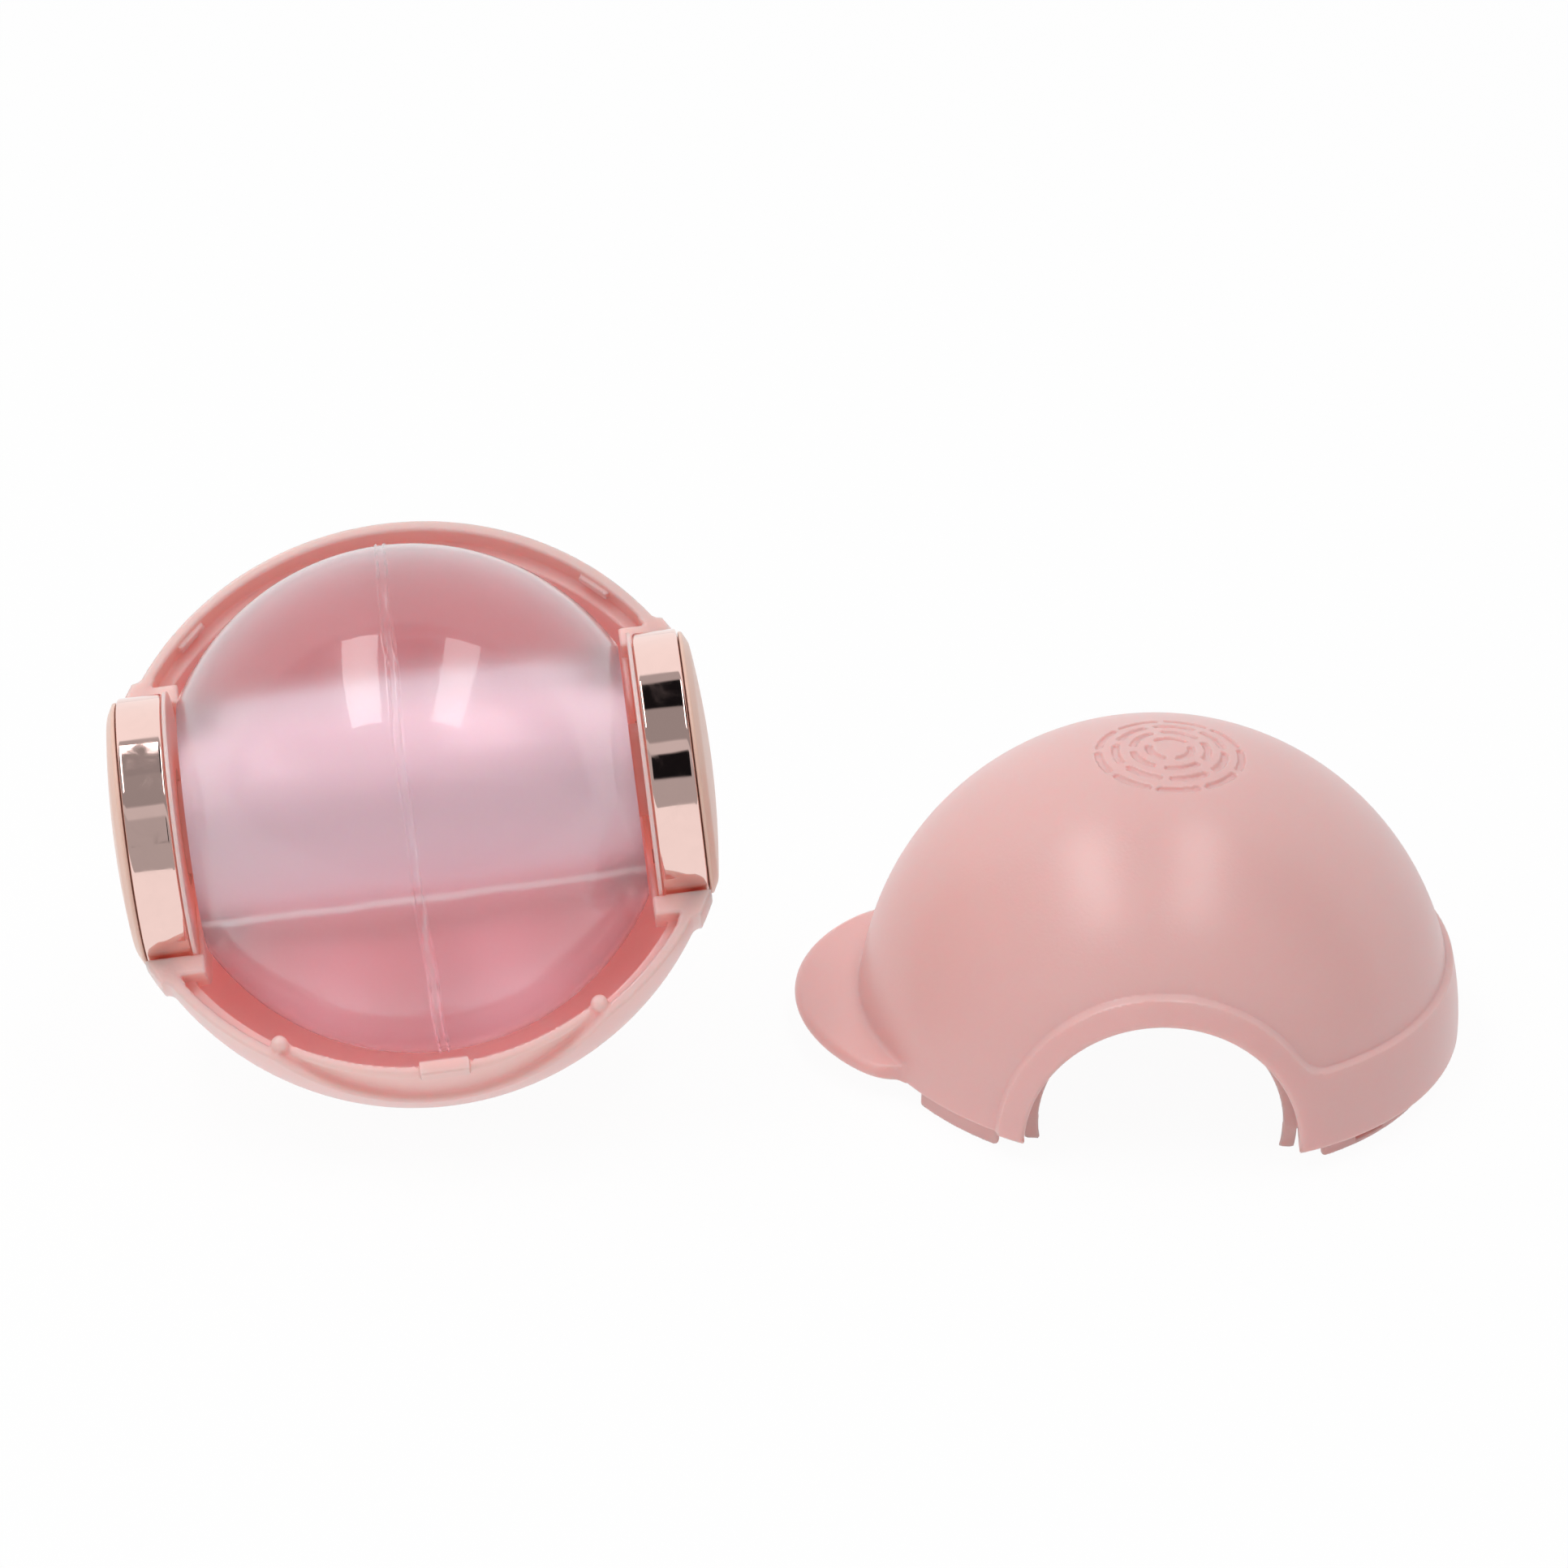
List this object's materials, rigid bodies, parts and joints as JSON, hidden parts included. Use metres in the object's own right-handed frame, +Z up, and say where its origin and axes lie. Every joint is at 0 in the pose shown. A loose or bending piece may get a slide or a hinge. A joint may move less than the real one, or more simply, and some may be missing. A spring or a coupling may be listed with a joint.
{
  "type": "lint catcher ball",
  "caption": "Pocket lint ball: a gel roller turns between two drums in the lower half of a ball-shaped case, its cap with thumb tab taken off beside it.",
  "frame": {"origin": "centre of the bounding box of both halves as they lie, on the surface they lie on", "axes": "+Z up, +X from the lower half to the cap, -Y towards the side that the lower half's mouth leans to"},
  "size_m": [0.169, 0.0808, 0.069],
  "materials": {
    "shell": "fine spark-eroded pink ABS",
    "ring": "bright rose-gold plated ABS",
    "disc": "satin peach ABS",
    "gel": "clear tinted sticky gel, wet gloss",
    "core": "natural white plastic",
    "bush": "natural white acetal",
    "steel": "zinc-plated steel"
  },
  "bodies": {
    "base": {"base_shell": "shell", "left_bearing_plate": "shell", "left_drum_ring": "ring", "left_cover_disc": "disc", "left_axle_bush": "bush", "left_plate_screw_front": "steel", "left_plate_screw_back": "steel", "right_bearing_plate": "shell", "right_drum_ring": "ring", "right_cover_disc": "disc", "right_axle_bush": "bush", "right_plate_screw_front": "steel", "right_plate_screw_back": "steel"},
    "roller": {"gel_sleeve": "gel", "core_tube": "core", "left_roller_hub": "shell", "left_axle_washer": "steel", "left_axle_screw": "steel", "right_roller_hub": "shell", "right_axle_washer": "steel", "right_axle_screw": "steel"},
    "cap": {"cap_shell": "shell"}
  },
  "joints": [
    {"name": "roller_spin", "type": "hinge", "parent": "base", "child": "roller", "pos_m": [-0.04681, -0.00928, 0.03786], "axis": [0.9869, 0.095, 0.1305], "continuous": true},
    {"name": "cap_lift", "type": "slide", "parent": "base", "child": "cap", "axis": [0, 0, 1], "range_m": [0, 0.06]}
  ]
}
